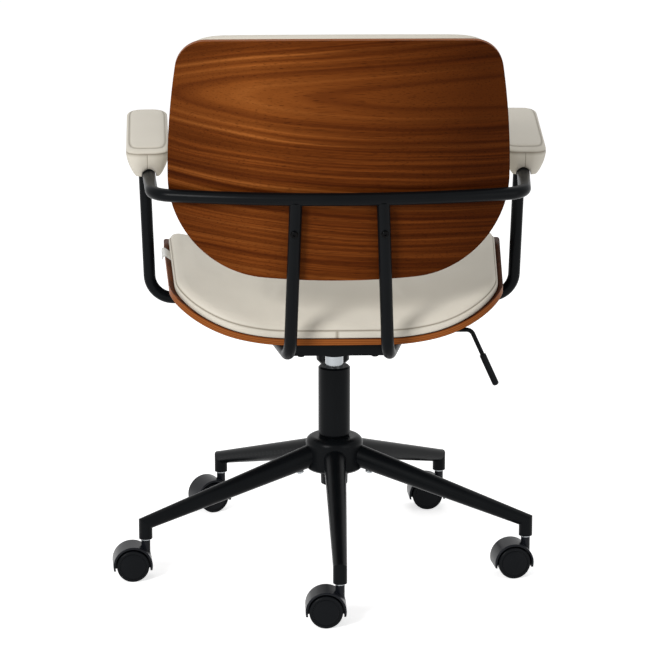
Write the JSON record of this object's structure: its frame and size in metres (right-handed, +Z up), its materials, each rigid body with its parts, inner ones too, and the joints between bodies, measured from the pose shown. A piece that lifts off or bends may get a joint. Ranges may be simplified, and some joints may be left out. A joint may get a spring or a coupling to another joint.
{
  "type": "office chair",
  "caption": "Swivel office chair with bent walnut ply shells, cream leather cushions and arm pads, a black tube frame, a gas-lift column and a star base on hooded casters.",
  "frame": {"origin": "on the floor, on the column's axis", "axes": "+Z up along the column, +Y the way the sitter faces, +X to the sitter's right"},
  "size_m": [0.6718, 0.61, 0.8769],
  "materials": {
    "black_powder_coat": "satin powder coat",
    "black_plastic": "moulded, satin",
    "caster_plastic": "moulded, satin",
    "chrome": "polished",
    "steel": "zinc plated",
    "black_bolt": "black oxide",
    "walnut_ply": "satin lacquer",
    "cream_leather": "soft, low sheen"
  },
  "bodies": {
    "base": {"base_hub": "black_powder_coat", "base_leg_1": "black_powder_coat", "base_leg_2": "black_powder_coat", "base_leg_3": "black_powder_coat", "base_leg_4": "black_powder_coat", "base_leg_5": "black_powder_coat", "leg_bolts": "steel", "column_tube": "black_powder_coat", "column_bush": "black_plastic", "thrust_bearing": "steel", "caster_stems": "steel"},
    "rod": {"piston_rod": "steel", "column_clip": "steel"},
    "lift": {"gas_cylinder": "chrome", "tilt_housing": "black_powder_coat", "tilt_pin": "steel"},
    "release": {"release_pin": "steel"},
    "lever": {"lever_rod": "black_powder_coat", "lever_grip": "black_plastic"},
    "knob": {"tension_knob": "black_plastic"},
    "seat": {"tilt_plate": "black_powder_coat", "tension_bolt": "steel", "tension_spring": "steel", "back_rail": "black_powder_coat", "arm_tube_right": "black_powder_coat", "arm_tube_left": "black_powder_coat", "back_upright_right": "black_powder_coat", "back_upright_left": "black_powder_coat", "seat_crossbars": "black_powder_coat", "seat_bolts": "black_bolt", "tee_nuts": "steel", "seat_shell": "walnut_ply", "seat_cushion": "cream_leather", "back_shell": "walnut_ply", "back_cushion": "cream_leather", "back_bolts": "black_bolt", "arm_pad_right": "cream_leather", "arm_pad_left": "cream_leather", "arm_pad_screws": "steel"},
    "caster_1": {"caster_1_hood": "caster_plastic", "caster_1_axle": "steel"},
    "caster_1_wheel_left": {"caster_1_wheel_left": "caster_plastic"},
    "caster_1_wheel_right": {"caster_1_wheel_right": "caster_plastic"},
    "caster_2": {"caster_2_hood": "caster_plastic", "caster_2_axle": "steel"},
    "caster_2_wheel_left": {"caster_2_wheel_left": "caster_plastic"},
    "caster_2_wheel_right": {"caster_2_wheel_right": "caster_plastic"},
    "caster_3": {"caster_3_hood": "caster_plastic", "caster_3_axle": "steel"},
    "caster_3_wheel_left": {"caster_3_wheel_left": "caster_plastic"},
    "caster_3_wheel_right": {"caster_3_wheel_right": "caster_plastic"},
    "caster_4": {"caster_4_hood": "caster_plastic", "caster_4_axle": "steel"},
    "caster_4_wheel_left": {"caster_4_wheel_left": "caster_plastic"},
    "caster_4_wheel_right": {"caster_4_wheel_right": "caster_plastic"},
    "caster_5": {"caster_5_hood": "caster_plastic", "caster_5_axle": "steel"},
    "caster_5_wheel_left": {"caster_5_wheel_left": "caster_plastic"},
    "caster_5_wheel_right": {"caster_5_wheel_right": "caster_plastic"}
  },
  "joints": [
    {"name": "swivel", "type": "hinge", "parent": "base", "child": "rod", "pos_m": [0, 0, 0.125], "axis": [0, 0, 1], "continuous": true},
    {"name": "height", "type": "slide", "parent": "rod", "child": "lift", "axis": [0, 0, 1], "range_m": [0, 0.08]},
    {"name": "tilt", "type": "hinge", "parent": "lift", "child": "seat", "pos_m": [0, 0.027, 0.358], "axis": [1, 0, 0], "range_deg": [0, 11], "stiffness_Nm_per_rad": 140, "springref_deg": -16.04, "deforming": ["tension_spring"]},
    {"name": "lever_lift", "type": "hinge", "parent": "lift", "child": "lever", "pos_m": [0.038, 0, 0.369], "axis": [0, -1, 0], "range_deg": [0, 5], "stiffness_Nm_per_rad": 2, "springref_deg": -6.88},
    {"name": "release_press", "type": "slide", "parent": "lift", "child": "release", "axis": [0, 0, -1], "range_m": [0, 0.0036]},
    {"name": "knob_turn", "type": "hinge", "parent": "seat", "child": "knob", "pos_m": [0, 0.082, 0.307], "axis": [0, 0, 1], "range_deg": [-720, 720]},
    {"name": "caster_1_swivel", "type": "hinge", "parent": "base", "child": "caster_1", "pos_m": [0, -0.31, 0.045], "axis": [0, 0, 1], "continuous": true},
    {"name": "caster_1_roll_left", "type": "hinge", "parent": "caster_1", "child": "caster_1_wheel_left", "pos_m": [-0.021, -0.31, 0.025], "axis": [0, -1, 0], "continuous": true},
    {"name": "caster_1_roll_right", "type": "hinge", "parent": "caster_1", "child": "caster_1_wheel_right", "pos_m": [-0.021, -0.31, 0.025], "axis": [0, -1, 0], "continuous": true},
    {"name": "caster_2_swivel", "type": "hinge", "parent": "base", "child": "caster_2", "pos_m": [0.29483, -0.0958, 0.045], "axis": [0, 0, 1], "continuous": true},
    {"name": "caster_2_roll_left", "type": "hinge", "parent": "caster_2", "child": "caster_2_wheel_left", "pos_m": [0.27398, -0.09835, 0.025], "axis": [0.1219, -0.9925, 0], "continuous": true},
    {"name": "caster_2_roll_right", "type": "hinge", "parent": "caster_2", "child": "caster_2_wheel_right", "pos_m": [0.27398, -0.09835, 0.025], "axis": [0.1219, -0.9925, 0], "continuous": true},
    {"name": "caster_3_swivel", "type": "hinge", "parent": "base", "child": "caster_3", "pos_m": [0.18221, 0.25079, 0.045], "axis": [0, 0, 1], "continuous": true},
    {"name": "caster_3_roll_left", "type": "hinge", "parent": "caster_3", "child": "caster_3_wheel_left", "pos_m": [0.16124, 0.2497, 0.025], "axis": [0.0523, -0.9986, 0], "continuous": true},
    {"name": "caster_3_roll_right", "type": "hinge", "parent": "caster_3", "child": "caster_3_wheel_right", "pos_m": [0.16124, 0.2497, 0.025], "axis": [0.0523, -0.9986, 0], "continuous": true},
    {"name": "caster_4_swivel", "type": "hinge", "parent": "base", "child": "caster_4", "pos_m": [-0.18221, 0.25079, 0.045], "axis": [0, 0, 1], "continuous": true},
    {"name": "caster_4_roll_left", "type": "hinge", "parent": "caster_4", "child": "caster_4_wheel_left", "pos_m": [-0.20125, 0.24192, 0.025], "axis": [0.4226, -0.9063, 0], "continuous": true},
    {"name": "caster_4_roll_right", "type": "hinge", "parent": "caster_4", "child": "caster_4_wheel_right", "pos_m": [-0.20125, 0.24192, 0.025], "axis": [0.4226, -0.9063, 0], "continuous": true},
    {"name": "caster_5_swivel", "type": "hinge", "parent": "base", "child": "caster_5", "pos_m": [-0.29483, -0.0958, 0.045], "axis": [0, 0, 1], "continuous": true},
    {"name": "caster_5_roll_left", "type": "hinge", "parent": "caster_5", "child": "caster_5_wheel_left", "pos_m": [-0.31575, -0.09763, 0.025], "axis": [0.0872, -0.9962, 0], "continuous": true},
    {"name": "caster_5_roll_right", "type": "hinge", "parent": "caster_5", "child": "caster_5_wheel_right", "pos_m": [-0.31575, -0.09763, 0.025], "axis": [0.0872, -0.9962, 0], "continuous": true}
  ],
  "couplings": [
    {"joint": "release_press", "follows": "lever_lift", "m_per_rad": 0.04}
  ]
}
